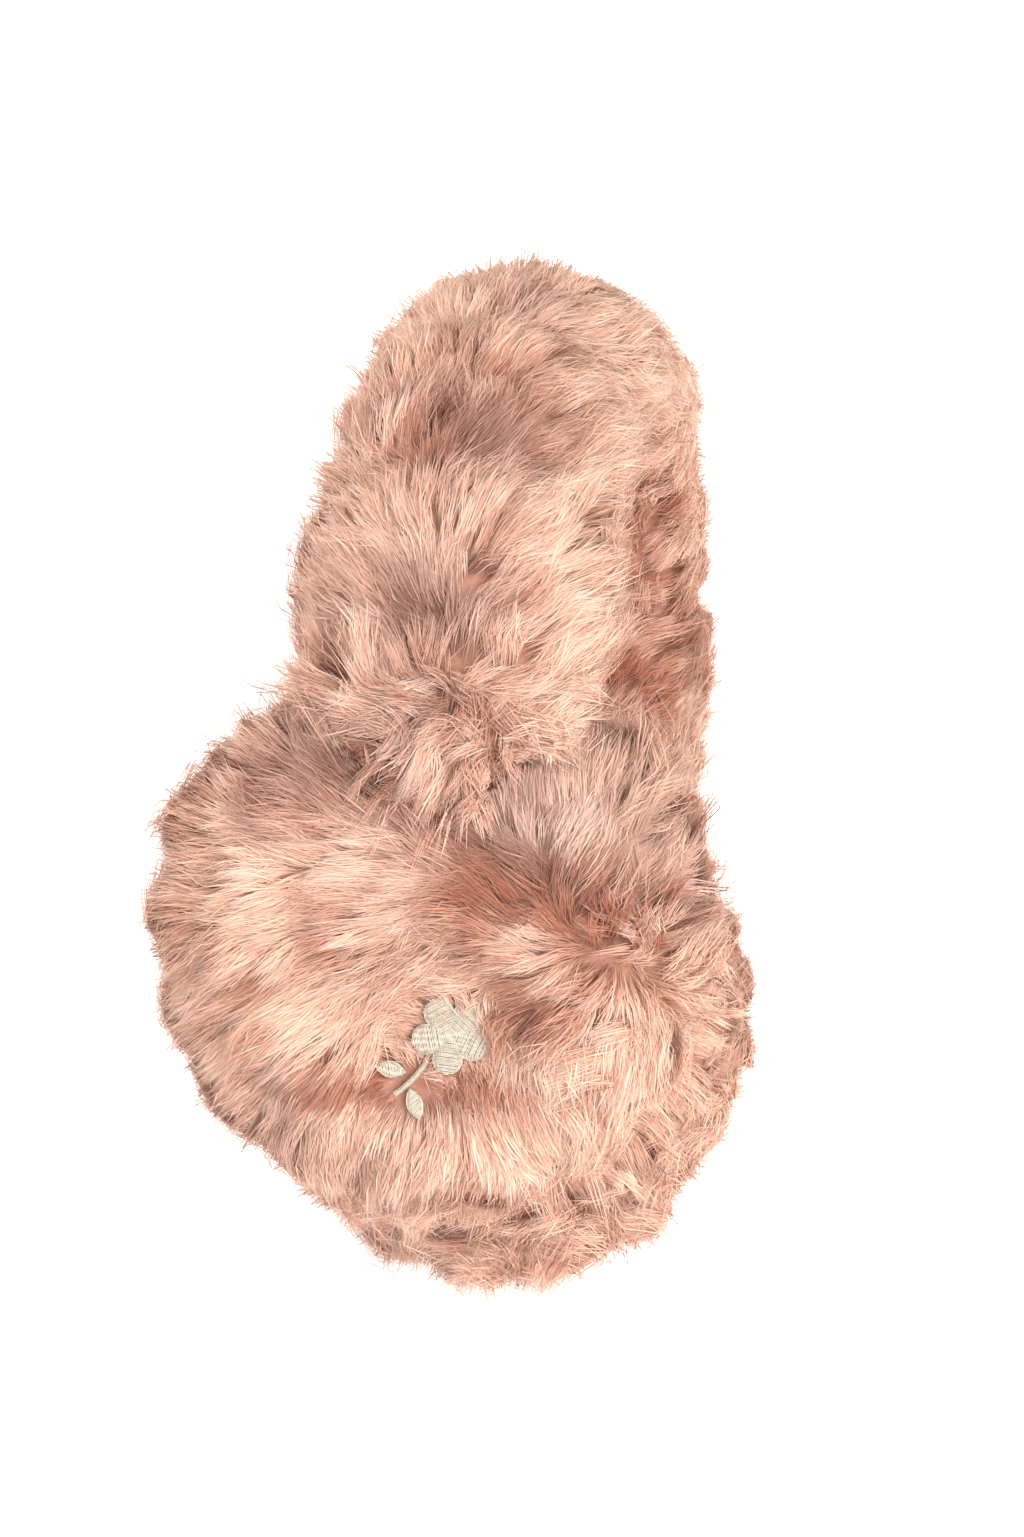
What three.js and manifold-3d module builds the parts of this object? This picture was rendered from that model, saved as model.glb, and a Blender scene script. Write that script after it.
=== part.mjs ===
// Fur earmuffs: two round, thickly furred ear cups joined by a furred spring headband.
// They lie on one side, as such a pair does on a table: the left cup is underneath with its
// pile pressed flat, and the right cup, with a small embroidered blossom, faces up.
// Units are millimetres. In the finished frame +Z is up from the table, +Y points to the crown
// of the headband and +X to the wearer's front. The origin is on the table, under the middle.
// The pieces are first modelled as they are worn: x to the wearer's right, y front, z up.
import * as THREE from "three";
import { mergeVertices } from "three/addons/utils/BufferGeometryUtils.js";
import Module from "manifold-3d";

// Headband: the fur sleeve's own section, without its locks
const bandWidth = 60;
const bandThickness = 43;
const crownRadius = 70;
const legBow = 46;
const legSwell = 0.07;
const bandLockDepth = 5;
const bandLockCount = 21;
const ridgeRise = 0.8;

// Where the sleeve is sewn into a cup, from the cup's middle
const joinOut = 12;
const joinUp = 14;
const joinEase = 40;
const bandEndRound = 27;

// Ear cups: radius and depth of the outer and the inner panel, without their locks
const cupSpacing = 89;
const cupDrop = 86;
const cupBack = 3;
const outerRadius = 62;
const outerDepth = 31;
const innerRadius = 63.5;
const innerDepth = 22;
const cupLean = THREE.MathUtils.degToRad(16);
const cupTurn = THREE.MathUtils.degToRad(6);
const outerLockDepth = 6;
const innerLockDepth = 5;
const grooveDepth = 5;
const grooveWidth = 4.5;

// The whorl that the outer panel's fur lies away from, and the swirl of its locks
const whorlFront = 33;
const whorlUp = -4;

// Embroidered blossom and the flat seat that its stitches pull into the fur
const motifFront = 7;
const motifUp = -26;
const seatDepth = 7;
const seatRadius = 19;
const seatRim = 7;
const petalCount = 5;
const petalLength = 6.4;
const petalWidth = 6.2;
const leafLength = 7.6;
const leafWidth = 3.8;
const stemLength = 11;
const stemWidth = 1.1;
const stemTurn = THREE.MathUtils.degToRad(-128);
const stitchThickness = 1.2;

// Fit and rest
const seamGap = 0.3;
const stitchGap = 0.3;
const joinGap = 0.4;
const pressDepth = 6;

// How one lock rises from its root to its tip, as shares of its length and depth
const LOCK_SHAPE = [
  { along: 0.0, height: 0.0, drag: 0.0 },
  { along: 0.42, height: 0.7, drag: 0.06 },
  { along: 0.78, height: 1.0, drag: 0.12 },
];

// Rows of locks on the outer panel, from the whorl to the rim, and on the inner panel
const OUTER_ROWS = [
  { from: 0.1, to: 0.34, locks: 8 },
  { from: 0.34, to: 0.6, locks: 8 },
  { from: 0.6, to: 0.84, locks: 16 },
  { from: 0.84, to: 0.985, locks: 16 },
];
const INNER_ROWS = [
  { from: 0.7, to: 0.88, locks: 16 },
  { from: 0.88, to: 0.99, locks: 16 },
];

// Puckers of the sleeve: place along the band from the right cup to the left, depth and width
const PUCKERS = [
  { at: 0.12, depth: 0.11, width: 0.02 },
  { at: 0.235, depth: 0.09, width: 0.018 },
  { at: 0.337, depth: 0.17, width: 0.018 },
  { at: 0.455, depth: 0.08, width: 0.018 },
  { at: 0.59, depth: 0.11, width: 0.02 },
  { at: 0.685, depth: 0.1, width: 0.018 },
  { at: 0.79, depth: 0.11, width: 0.02 },
  { at: 0.895, depth: 0.08, width: 0.018 },
];

// Leaves: place along the stem and turn from its direction in degrees
const LEAVES = [
  { name: "back", along: 0.42, turn: -58 },
  { name: "front", along: 0.62, turn: 62 },
];

const CUP_COLUMNS = 64;
const BAND_COLUMNS = 24;
const BAND_STATIONS = 48;
const STEPS_PER_LOCK = 4;
const INNER_FACE_SHARES = [0.28, 0.52];
const RIM_SHARE = 0.9997;

const X = new THREE.Vector3(1, 0, 0);
const FRONT = new THREE.Vector3(0, 1, 0);
const UP = new THREE.Vector3(0, 0, 1);
const fadeIn = (value, from, to) => THREE.MathUtils.smoothstep(value, from, to);
const varied = (a, b) => {
  const noise = Math.sin(a * 127.1 + b * 311.7) * 43758.5453;
  return noise - Math.floor(noise);
};

const wasm = await Module();
wasm.setup();

// Solids

function solidOf(geometry) {
  const bare = geometry.index ? geometry.toNonIndexed() : geometry.clone();
  bare.deleteAttribute("normal");
  bare.deleteAttribute("uv");
  const merged = mergeVertices(bare, 1e-4);
  return new wasm.Manifold(
    new wasm.Mesh({
      numProp: 3,
      vertProperties: merged.attributes.position.array,
      triVerts: new Uint32Array(merged.index.array),
    }),
  );
}

function geometryOf(solid) {
  const mesh = solid.getMesh();
  const geometry = new THREE.BufferGeometry();
  geometry.setAttribute("position", new THREE.BufferAttribute(mesh.vertProperties, 3));
  geometry.setIndex(new THREE.BufferAttribute(mesh.triVerts, 1));
  geometry.computeVertexNormals();
  return geometry;
}

// A closed skin through rings of points, with a point at each end. A mirrored one is turned round.
function skinThrough(rings, firstEnd, lastEnd, mirrored) {
  const columns = rings[0].length;
  const points = [firstEnd, ...rings.flat(), lastEnd];
  const last = points.length - 1;
  const faces = [];
  const face = (a, b, c) => faces.push(...(mirrored ? [a, c, b] : [a, b, c]));
  for (let j = 0; j < columns; j++) {
    const next = (j + 1) % columns;
    face(0, 1 + j, 1 + next);
    for (let i = 0; i + 1 < rings.length; i++) {
      const here = 1 + i * columns;
      const beyond = here + columns;
      face(here + j, beyond + j, beyond + next);
      face(here + j, beyond + next, here + next);
    }
    const edge = 1 + (rings.length - 1) * columns;
    face(edge + next, edge + j, last);
  }
  const geometry = new THREE.BufferGeometry().setFromPoints(points);
  geometry.setIndex(faces);
  return geometry;
}

// Where the cups are held and how the sleeve runs

// Where a cup is held as it is worn: leaning in at its foot and turned a little to the front
function cupHolder(side) {
  const holder = new THREE.Group();
  holder.position.set((side * cupSpacing) / 2, -cupBack, -cupDrop);
  holder.rotation.set(0, side * cupLean, side * cupTurn, "ZYX");
  holder.updateMatrix();
  return holder;
}

// The middle line of the sleeve: a half circle over the crown, then a leg into each cup
function bandLine() {
  const half = [];
  for (let i = 0; i <= 12; i++) {
    const angle = (Math.PI / 2) * (1 - i / 12);
    half.push(new THREE.Vector3(crownRadius * Math.cos(angle), 0, crownRadius * Math.sin(angle)));
  }
  const sewn = new THREE.Vector3(joinOut, 0, joinUp).applyMatrix4(cupHolder(1).matrix);
  const above = new THREE.Vector3(joinOut, 0, joinUp + joinEase).applyMatrix4(cupHolder(1).matrix);
  const side = half[half.length - 1];
  const leg = new THREE.CubicBezierCurve3(side, side.clone().setZ(-legBow), above, sewn);
  half.push(...leg.getSpacedPoints(10).slice(1));
  const mirrored = half.slice(1).map((p) => new THREE.Vector3(-p.x, p.y, p.z));
  return new THREE.CatmullRomCurve3([...half.reverse(), ...mirrored]);
}

const BAND_LENGTH = bandLine().getLength();

// How full the sleeve is at a place along the band: it swells between the puckers, most of all
// halfway down a leg, and closes in a round end where it is sewn to a cup
function fullnessAt(share) {
  const fromEnd = Math.min(share, 1 - share);
  const swell = 1 + legSwell * Math.exp(-(((fromEnd - 0.17) / 0.07) ** 2));
  const puckered = PUCKERS.reduce(
    (full, p) => full - p.depth / (1 + ((share - p.at) / p.width) ** 2),
    1.06 * swell,
  );
  const closing = Math.min(1, (fromEnd * BAND_LENGTH) / bandEndRound);
  return puckered * Math.sqrt(0.04 + 0.96 * (1 - (1 - closing) ** 2));
}

// Stations along the right half of the sleeve, for finding what lies under it
function bandStations() {
  const line = bandLine();
  return Array.from({ length: BAND_STATIONS }, (_, i) => {
    const share = (0.5 * i) / BAND_STATIONS;
    const along = line.getTangentAt(share);
    const outwards = new THREE.Vector3().crossVectors(along, FRONT).negate();
    return { middle: line.getPointAt(share), along, outwards, full: fullnessAt(share) };
  });
}
const STATIONS = bandStations();

// How far out of the sleeve a place in a cup's frame is: under 1 lies within its locks
function bandReach(side, x, y, z) {
  const place = new THREE.Vector3(side * x, y, z).applyMatrix4(cupHolder(side).matrix);
  place.x *= side;
  const reaches = STATIONS.map((station) => {
    const from = place.clone().sub(station.middle);
    const out = from.dot(station.outwards) / ((bandThickness / 2) * station.full + bandLockDepth);
    const across = from.y / ((bandWidth / 2) * station.full + bandLockDepth);
    const past = from.dot(station.along) / (bandThickness / 4);
    return Math.hypot(out, across, past);
  });
  return Math.min(...reaches);
}

// Ear cups. In a cup's frame x points out of the ear on the right cup, y front and z up.

// The sleeve's footprint and the blossom's seat have no locks
function lockMask(side, x, y, z) {
  const fromMotif = Math.hypot(y - motifFront, z - motifUp);
  return {
    band: fadeIn(bandReach(side, x, y, z), 1.04, 1.16),
    seat: fadeIn(fromMotif, seatRadius, seatRadius + seatRim),
  };
}

// A ring's place in its row of locks, and how far a column of it is raised and dragged outwards
function lockAt(rowIndex, row, shape, column) {
  const place = (column / CUP_COLUMNS) * row.locks + (rowIndex % 2 ? 0.5 : 0);
  const crest = Math.sin(Math.PI * (place % 1)) ** 0.8;
  const lively = 0.7 + 0.5 * varied(rowIndex + 3, Math.floor(place) % row.locks);
  return { height: shape.height * crest * lively, drag: shape.drag * crest };
}

function ringShares(rows) {
  return rows.flatMap((row, rowIndex) =>
    LOCK_SHAPE.map((shape) => ({
      row,
      rowIndex,
      shape,
      share: THREE.MathUtils.lerp(row.from, row.to, shape.along),
    })),
  );
}

const domeHeight = (radius, panelRadius, depth, fullness) =>
  depth * Math.sqrt(Math.max(0, 1 - (radius / panelRadius) ** fullness));

// One panel of a cup, as rings from its middle to the seam. grow makes the cutter for the band.
function panel(side, facing, rows, size, grow, withLocks) {
  const radius = size.radius + grow;
  const depth = size.depth + grow;
  const seamX = facing * (seamGap / 2 - grow);
  const onPanel = (share, angle) => {
    const y = THREE.MathUtils.lerp(size.middle.y, radius * Math.cos(angle), share);
    const z = THREE.MathUtils.lerp(size.middle.z, radius * Math.sin(angle), share);
    const out = Math.hypot(y, z);
    return { x: domeHeight(out, radius, depth, size.fullness), y, z, out };
  };
  const ringAt = (share, lock) =>
    Array.from({ length: CUP_COLUMNS }, (_, column) => {
      const angle = (2 * Math.PI * column) / CUP_COLUMNS;
      let at = onPanel(share, angle);
      const mask = lockMask(side, facing * at.x, at.y, at.z);
      const seatHere = facing > 0 && side > 0;
      if (withLocks && lock) {
        const raised = lockAt(lock.rowIndex, lock.row, lock.shape, column);
        const freely = mask.band * (seatHere ? mask.seat : 1);
        const drag = raised.drag * freely * (lock.row.to - lock.row.from);
        at = onPanel(Math.min(RIM_SHARE, share + drag), angle);
        const lift = size.lockDepth * raised.height * freely;
        const slope = Math.atan2(at.x / depth, at.out / radius);
        const wider = 1 + (lift * Math.cos(slope)) / Math.max(at.out, 1);
        at = { x: at.x + lift * Math.sin(slope), y: at.y * wider, z: at.z * wider };
      }
      if (seatHere) at.x = THREE.MathUtils.lerp(Math.min(at.x, seatHeight + grow), at.x, mask.seat);
      const groove = withLocks ? grooveDepth * Math.exp(-((at.x / grooveWidth) ** 2)) : 0;
      const now = Math.hypot(at.y, at.z);
      const drawnIn = 1 - (groove * fadeIn(now, radius * 0.7, radius)) / Math.max(now, 1);
      const x = Math.max(at.x, seamGap / 2 + 0.2);
      return new THREE.Vector3(side * facing * x, at.y * drawnIn, at.z * drawnIn);
    });
  const seamRadius = radius - (withLocks ? grooveDepth + 1 : 0.1);
  const seam = Array.from({ length: CUP_COLUMNS }, (_, column) => {
    const angle = (2 * Math.PI * column) / CUP_COLUMNS;
    const y = seamRadius * Math.cos(angle);
    return new THREE.Vector3(side * seamX, y, seamRadius * Math.sin(angle));
  });
  const rings = [...size.plainShares.map((share) => ringAt(share)), ...ringShares(rows).map((ring) => ringAt(ring.share, ring))];
  const middleOut = domeHeight(Math.hypot(size.middle.y, size.middle.z), radius, depth, size.fullness);
  const first = new THREE.Vector3(side * facing * middleOut, size.middle.y, size.middle.z);
  const last = new THREE.Vector3(side * seamX, 0, 0);
  return skinThrough([...rings, ringAt(RIM_SHARE), seam], first, last, side * facing < 0);
}

const OUTER = {
  radius: outerRadius,
  depth: outerDepth,
  fullness: 3.2,
  lockDepth: outerLockDepth,
  middle: { y: whorlFront, z: whorlUp },
  plainShares: [],
};
const INNER = {
  radius: innerRadius,
  depth: innerDepth,
  fullness: 4.2,
  lockDepth: innerLockDepth,
  middle: { y: 0, z: 0 },
  plainShares: INNER_FACE_SHARES,
};
const seatHeight =
  domeHeight(Math.hypot(motifFront, motifUp), outerRadius, outerDepth, OUTER.fullness) - seatDepth;

const outerPanel = (side, grow = 0, locks = true) => panel(side, 1, OUTER_ROWS, OUTER, grow, locks);
const innerPanel = (side, grow = 0, locks = true) => panel(side, -1, INNER_ROWS, INNER, grow, locks);

// Headband

// The sleeve's locks lie from the outer ridge round both sides to the head's side
function sleeve() {
  const line = bandLine();
  const steps = bandLockCount * STEPS_PER_LOCK;
  const rowsPerHalf = BAND_COLUMNS / 2 / LOCK_SHAPE.length;
  const rings = [];
  for (let i = 0; i <= steps; i++) {
    const share = i / steps;
    const along = line.getTangentAt(share);
    const outwards = new THREE.Vector3().crossVectors(along, FRONT).negate();
    const full = fullnessAt(share);
    const nearEnd = fadeIn(Math.min(share, 1 - share), 0.06, 0.14);
    rings.push(
      Array.from({ length: BAND_COLUMNS }, (_, column) => {
        const half = column < BAND_COLUMNS / 2 ? 1 : -1;
        const step = half > 0 ? column : BAND_COLUMNS - column;
        const row = Math.floor(step / LOCK_SHAPE.length);
        const shape = LOCK_SHAPE[step % LOCK_SHAPE.length];
        const place = share * bandLockCount + (row % 2 ? 0.5 : 0);
        const crest = Math.sin(Math.PI * (place % 1)) ** 0.8;
        const lively = 0.7 + 0.5 * varied(row * half + 11, Math.floor(place));
        const turn = (Math.PI * (row + shape.along + shape.drag * crest)) / rowsPerHalf;
        const height = column === 0 ? ridgeRise : shape.height;
        const lift = bandLockDepth * height * crest * lively * nearEnd;
        const out = Math.cos(turn) * ((bandThickness / 2) * full + lift);
        const across = half * Math.sin(turn) * ((bandWidth / 2) * full + lift);
        return line
          .getPointAt(share)
          .addScaledVector(outwards, out)
          .addScaledVector(FRONT, across);
      }),
    );
  }
  return skinThrough(rings, line.getPointAt(0), line.getPointAt(1), true);
}

// Embroidered blossom, drawn in the plane of its seat: x to the front and y up

function stitched(shape) {
  return new THREE.ExtrudeGeometry(shape, {
    depth: stitchThickness,
    bevelEnabled: false,
    curveSegments: 7,
  });
}

// A petal along +x that starts just short of the flower's heart, so that the petals overlap there
const petalHeart = petalWidth * 0.42;
function petalGeometry(turn) {
  const tip = petalHeart + petalLength;
  const shape = new THREE.Shape();
  shape.moveTo(-petalHeart * 0.3, 0);
  shape.bezierCurveTo(petalHeart, petalWidth * 0.7, tip, petalWidth * 0.8, tip, 0);
  shape.bezierCurveTo(tip, -petalWidth * 0.8, petalHeart, -petalWidth * 0.7, -petalHeart * 0.3, 0);
  return stitched(shape).rotateZ(turn);
}

// The stem leaves between two petals
function blossomGeometry() {
  const petals = Array.from({ length: petalCount }, (_, i) =>
    solidOf(petalGeometry((2 * Math.PI * (i + 0.5)) / petalCount + stemTurn)),
  );
  return geometryOf(petals.reduce((joined, petal) => joined.add(petal)));
}

function leafGeometry() {
  const shape = new THREE.Shape();
  shape.moveTo(0, 0);
  shape.quadraticCurveTo(leafLength / 2, leafWidth, leafLength, 0);
  shape.quadraticCurveTo(leafLength / 2, -leafWidth, 0, 0);
  return stitched(shape);
}

function stemGeometry() {
  const bend = stemLength * 0.12;
  const shape = new THREE.Shape();
  shape.moveTo(0, -stemWidth / 2);
  shape.quadraticCurveTo(stemLength / 2, bend - stemWidth / 2, stemLength, -stemWidth / 2);
  shape.lineTo(stemLength, stemWidth / 2);
  shape.quadraticCurveTo(stemLength / 2, bend + stemWidth / 2, 0, stemWidth / 2);
  return stitched(shape);
}

// The flower, its stem down and back from it, and a leaf on each side of the stem
function motif() {
  const seat = new THREE.Group();
  seat.position.set(seatHeight + stitchGap, motifFront, motifUp);
  seat.setRotationFromMatrix(new THREE.Matrix4().makeBasis(FRONT, UP, X));
  const flowerReach = petalHeart + petalLength;
  const flower = named("embroidered_blossom", blossomGeometry(), thread);
  flower.position.set(flowerReach * 0.4, flowerReach * 0.45, 0);
  const stem = named("embroidered_stem", stemGeometry(), thread);
  stem.rotation.z = stemTurn;
  const along = new THREE.Vector3(1, 0, 0).applyEuler(stem.rotation);
  stem.position.copy(flower.position).addScaledVector(along, flowerReach - petalLength * 0.2);
  seat.add(flower, stem);
  for (const leaf of LEAVES) {
    const blade = named(`embroidered_leaf_${leaf.name}`, leafGeometry(), thread);
    blade.rotation.z = stemTurn + THREE.MathUtils.degToRad(leaf.turn);
    blade.position
      .copy(stem.position)
      .addScaledVector(along, stemLength * leaf.along)
      .add(new THREE.Vector3(stemWidth / 2 + stitchGap + leafWidth * 0.22, 0, 0).applyEuler(blade.rotation));
    seat.add(blade);
  }
  return seat;
}

// Materials

const fur = new THREE.MeshStandardMaterial({ color: 0xdfae9b, roughness: 0.95, metalness: 0 });
const thread = new THREE.MeshStandardMaterial({ color: 0xe6dfd0, roughness: 0.6, metalness: 0 });

function named(name, geometry, material) {
  const mesh = new THREE.Mesh(geometry, material);
  mesh.name = name;
  return mesh;
}

// Assembly, as worn

const earmuffs = new THREE.Group();
const cups = { right: cupHolder(1), left: cupHolder(-1) };
let band = solidOf(sleeve());
for (const [name, holder] of Object.entries(cups)) {
  const side = name === "right" ? 1 : -1;
  for (const shaped of [outerPanel, innerPanel])
    band = band.subtract(solidOf(shaped(side, joinGap, false).applyMatrix4(holder.matrix)));
  holder.add(named(`cup_${name}_outer`, outerPanel(side), fur));
  holder.add(named(`cup_${name}_inner`, innerPanel(side), fur));
  earmuffs.add(holder);
}
earmuffs.add(named("headband_sleeve", geometryOf(band), fur));
cups.right.add(motif());

// Laid down on the left side, turned until the left leg and the left cup both touch the table
const laid = new THREE.Group();
laid.rotation.setFromRotationMatrix(
  new THREE.Matrix4().makeBasis(UP, X, FRONT),
);
laid.add(earmuffs);
const table = new THREE.Group();
table.add(laid);

function lowest(mesh) {
  const place = mesh.geometry.attributes.position;
  const point = new THREE.Vector3();
  let low = Infinity;
  for (let i = 0; i < place.count; i++) {
    low = Math.min(low, point.fromBufferAttribute(place, i).applyMatrix4(mesh.matrixWorld).z);
  }
  return low;
}

const lowerCup = earmuffs.getObjectByName("cup_left_outer");
const lowerLeg = earmuffs.getObjectByName("headband_sleeve");
let tiltFrom = -0.6;
let tiltTo = 0.6;
for (let i = 0; i < 30; i++) {
  table.rotation.x = (tiltFrom + tiltTo) / 2;
  table.updateMatrixWorld(true);
  if (lowest(lowerCup) > lowest(lowerLeg)) tiltFrom = table.rotation.x;
  else tiltTo = table.rotation.x;
}

// Pressed into the table, so that the pile is flat where the pair rests
table.position.z = -lowest(lowerCup) - pressDepth;
table.updateMatrixWorld(true);

const tableSize = 4 * (crownRadius + cupDrop + outerRadius);
const tableTop = new THREE.BoxGeometry(tableSize, tableSize, tableSize);
const tableSolid = solidOf(tableTop.translate(0, 0, -tableSize / 2));
for (const mesh of [lowerCup, lowerLeg]) {
  const resting = solidOf(mesh.geometry.clone().applyMatrix4(mesh.matrixWorld));
  const pressed = geometryOf(resting.subtract(tableSolid));
  mesh.geometry = pressed.applyMatrix4(mesh.matrixWorld.clone().invert());
}

// The origin is on the table, under the middle of the pair
table.updateMatrixWorld(true);
const middle = new THREE.Box3().setFromObject(table, true).getCenter(new THREE.Vector3());
table.position.x -= middle.x;
table.position.y -= middle.y;

export default table;
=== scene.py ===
# %% [markdown]
# # Fur earmuffs, lying on one side
#
# A lesson in making deep fur out of mesh. The solids of the earmuffs come in as a fixed frame:
# a gathered sleeve round the headband, and an outer and an inner panel on each cup. Every fur
# solid gets two things here: a pelt, the backing that the pile grows from, coloured dark as painted
# shade deep in the pile, and the pile itself, tens of thousands of fine strands gathered into wisps
# and combed along the surface.

# %% Start from the frame
import math
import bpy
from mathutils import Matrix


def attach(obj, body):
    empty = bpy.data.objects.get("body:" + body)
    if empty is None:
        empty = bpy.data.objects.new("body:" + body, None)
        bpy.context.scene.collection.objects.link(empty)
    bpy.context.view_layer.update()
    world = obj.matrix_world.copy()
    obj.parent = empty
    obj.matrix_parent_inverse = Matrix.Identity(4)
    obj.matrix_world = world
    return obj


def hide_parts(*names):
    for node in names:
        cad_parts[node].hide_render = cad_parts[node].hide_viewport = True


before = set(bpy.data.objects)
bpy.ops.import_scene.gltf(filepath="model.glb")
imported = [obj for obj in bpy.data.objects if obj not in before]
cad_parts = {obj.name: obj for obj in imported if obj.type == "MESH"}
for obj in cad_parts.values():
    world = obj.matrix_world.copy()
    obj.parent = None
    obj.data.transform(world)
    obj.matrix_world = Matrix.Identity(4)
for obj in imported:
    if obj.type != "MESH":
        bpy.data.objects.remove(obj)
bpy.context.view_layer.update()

from types import SimpleNamespace
import bpy
import bmesh
import numpy as np
from mathutils import Matrix, Vector
from mathutils.bvhtree import BVHTree
from mathutils.kdtree import KDTree

MM = 0.001

# %% [markdown]
# ## The worn frame
#
# Fur is combed along the body of the thing, so directions are easiest to say as the pair is worn:
# x to the wearer's right, y to the front and z up. The pair lies on its left side and leans until
# the left cup and the left leg of the band both touch the table, so one matrix carries worn
# places to the table. The sizes are the part's own.

# %% Worn frame and the cups' frames
LEAN_ON_TABLE = math.radians(12.7598)
CROWN_AXIS = Vector((3.1018, 30.2846, 93.8263)) * MM
CUP_SPACING = 89
CUP_DROP = 86
CUP_BACK = 3
CUP_LEAN = math.radians(16)
CUP_TURN = math.radians(6)

WORN = (Matrix.Translation(CROWN_AXIS) @ Matrix.Rotation(LEAN_ON_TABLE, 4, "X")
        @ Matrix(((0, 1, 0, 0), (0, 0, 1, 0), (1, 0, 0, 0), (0, 0, 0, 1))))


def cup_frame(side):
    """A cup's own frame: x out of the ear on the right cup, y front, z up."""
    place = Matrix.Translation(Vector((side * CUP_SPACING / 2, -CUP_BACK, -CUP_DROP)) * MM)
    turn = Matrix.Rotation(side * CUP_TURN, 4, "Z") @ Matrix.Rotation(side * CUP_LEAN, 4, "Y")
    return WORN @ place @ turn


print("crown axis at", tuple(round(v, 4) for v in WORN.translation))

# %% [markdown]
# ## Camera
#
# The photograph looks down on the pair lying flat, a little towards the feet of the cups. The
# camera's place was worked out in the worn frame, and a long lens keeps the far cup nearly as
# large as the near one.

# %% Camera
CAMERA_TURN = math.radians(13.24)
CAMERA_RISE = math.radians(-18.43)
CAMERA_ROLL = math.radians(7.44)
CAMERA_DISTANCE = 924.5
PIXELS_PER_MM = 3.96
ORIGIN_PIXEL = (521.9, 651.1)
IMAGE = (1024, 1537)
SENSOR_HEIGHT = 24


def aim_camera():
    """Stand the camera in the worn frame and point it at the middle of the picture."""
    back = Vector((math.cos(CAMERA_RISE) * math.cos(CAMERA_TURN),
                   math.cos(CAMERA_RISE) * math.sin(CAMERA_TURN), math.sin(CAMERA_RISE)))
    right = Vector((-math.sin(CAMERA_TURN), math.cos(CAMERA_TURN), 0))
    up = back.cross(right)
    focal = PIXELS_PER_MM * CAMERA_DISTANCE
    roll = Matrix.Rotation(CAMERA_ROLL, 3, back)
    right, up = roll @ right, roll @ up
    across = (IMAGE[0] / 2 - ORIGIN_PIXEL[0]) / focal
    down = (IMAGE[1] / 2 - ORIGIN_PIXEL[1]) / focal
    new_back = (back - right * across + up * down).normalized()
    new_right = (right - new_back * right.dot(new_back)).normalized()
    axes = Matrix((new_right, new_back.cross(new_right), new_back)).transposed().to_4x4()
    place = Matrix.Translation(back * CAMERA_DISTANCE * MM) @ axes
    data = bpy.data.cameras.new("view")
    data.sensor_fit = "VERTICAL"
    data.sensor_height = SENSOR_HEIGHT
    data.lens = SENSOR_HEIGHT * focal / IMAGE[1]
    data.clip_start = 0.05
    camera = bpy.data.objects.new("view", data)
    camera.matrix_world = WORN @ place
    bpy.context.scene.collection.objects.link(camera)
    bpy.context.scene.camera = camera
    return camera


camera = aim_camera()
print("camera", [round(v, 3) for v in camera.matrix_world.translation], "lens", camera.data.lens)

# %% [markdown]
# ## Table and light
#
# A white table under soft, nearly shadowless studio light, as product pictures have: one large
# light beside the camera, a weaker one from the crown's side, and a pale world.

# %% Table and light
def hex_linear(code):
    """sRGB hex to the linear values that shaders take."""
    channels = [int(code[i:i + 2], 16) / 255 for i in (1, 3, 5)]
    return [c / 12.92 if c <= 0.04045 else ((c + 0.055) / 1.055) ** 2.4 for c in channels] + [1.0]


def add_node(tree, kind, settings=None, **links):
    """Add a node, set its properties, and set or link its inputs by name."""
    node = tree.nodes.new(kind)
    for name, value in (settings or {}).items():
        setattr(node, name, value)
    for name, value in links.items():
        socket = node.inputs[int(name[1:])] if name[0] == "i" and name[1:].isdigit() \
            else node.inputs[name.replace("_", " ")]
        if isinstance(value, bpy.types.NodeSocket):
            tree.links.new(value, socket)
        else:
            socket.default_value = value
    return node


def new_material(name):
    material = bpy.data.materials.new(name)
    material.use_nodes = True
    material.node_tree.nodes.clear()
    return material, material.node_tree


TABLE_HALF = 3.0
WORLD_STRENGTH = 1.05
LIT_PLACE = Vector((0, 0, 0.08))
# name, place and size in metres, and power in watts
LIGHTS = (("key", (0.55, -0.6, 1.1), 0.7, 31), ("fill", (-0.8, 0.5, 0.9), 0.8, 10))

# Matt laminate: no gleam, so that only the fur has texture
table_paint, tree = new_material("white_studio_table")
shader = add_node(tree, "ShaderNodeBsdfPrincipled", Base_Color=hex_linear("#FBF9F7"),
                  Roughness=0.9, Specular_IOR_Level=0.1)
add_node(tree, "ShaderNodeOutputMaterial", Surface=shader.outputs[0])

bm = bmesh.new()
bmesh.ops.create_grid(bm, x_segments=2, y_segments=2, size=TABLE_HALF)
mesh = bpy.data.meshes.new("table")
bm.to_mesh(mesh)
bm.free()
mesh.materials.append(table_paint)
table = bpy.data.objects.new("table", mesh)
bpy.context.scene.collection.objects.link(table)

world = bpy.data.worlds.new("studio")
bpy.context.scene.world = world
world.use_nodes = True
world.node_tree.nodes["Background"].inputs["Color"].default_value = hex_linear("#FFFDFB")
world.node_tree.nodes["Background"].inputs["Strength"].default_value = WORLD_STRENGTH


def area_light(name, place, size, power):
    data = bpy.data.lights.new(name, "AREA")
    data.shape = "DISK"
    data.size = size
    data.energy = power
    light = bpy.data.objects.new(name, data)
    light.location = place
    light.rotation_euler = (LIT_PLACE - Vector(place)).to_track_quat("-Z", "Y").to_euler()
    bpy.context.scene.collection.objects.link(light)


bpy.context.scene.view_settings.view_transform = "Standard"
for name, place, size, power in LIGHTS:
    area_light(name, place, size, power)
print("table and", len(LIGHTS), "lights ready")
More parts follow.
